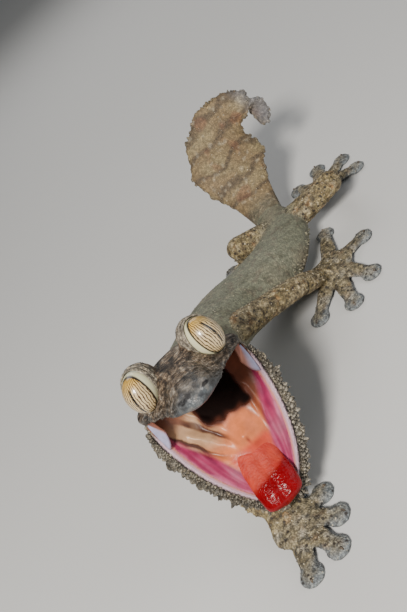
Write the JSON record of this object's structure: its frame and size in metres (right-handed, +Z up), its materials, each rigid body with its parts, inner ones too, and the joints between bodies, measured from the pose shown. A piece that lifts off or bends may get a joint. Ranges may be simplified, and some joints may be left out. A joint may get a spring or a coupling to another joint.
{
  "type": "giant leaf-tailed gecko",
  "caption": "Life-size giant leaf-tailed gecko in a crouch with its mouth gaping, tongue showing, toes spread and flat leaf tail lifted and curled.",
  "frame": {"origin": "on the floor, under the middle of the overall box", "axes": "the gecko faces -Y, its left is +X, +Z is up"},
  "size_m": [0.1316, 0.1802, 0.0684],
  "materials": {
    "head_skin": "granular scaled skin, satin",
    "jaw_skin": "knobbly scaled skin outside, wet pink lining inside",
    "tongue_flesh": "wet, glossy",
    "eye_surface": "glossy, cream-gold with brown lines",
    "body_skin": "fine scaled skin, satin",
    "tail_skin": "mottled bark-like skin, matt",
    "limb_skin": "granular scaled skin, matt"
  },
  "bodies": {
    "root": {"head": "head_skin", "lower_jaw": "jaw_skin", "tongue": "tongue_flesh", "eye_left": "eye_surface", "eye_right": "eye_surface", "neck": "body_skin", "chest": "body_skin", "belly": "body_skin", "hips": "body_skin", "tail_base": "tail_skin", "tail_leaf": "tail_skin", "tail_tip": "tail_skin", "upper_arm_left": "limb_skin", "forearm_left": "limb_skin", "hand_left": "limb_skin", "thigh_left": "limb_skin", "shank_left": "limb_skin", "foot_left": "limb_skin", "upper_arm_right": "limb_skin", "forearm_right": "limb_skin", "hand_right": "limb_skin", "thigh_right": "limb_skin", "shank_right": "limb_skin", "foot_right": "limb_skin"}
  },
  "joints": []
}
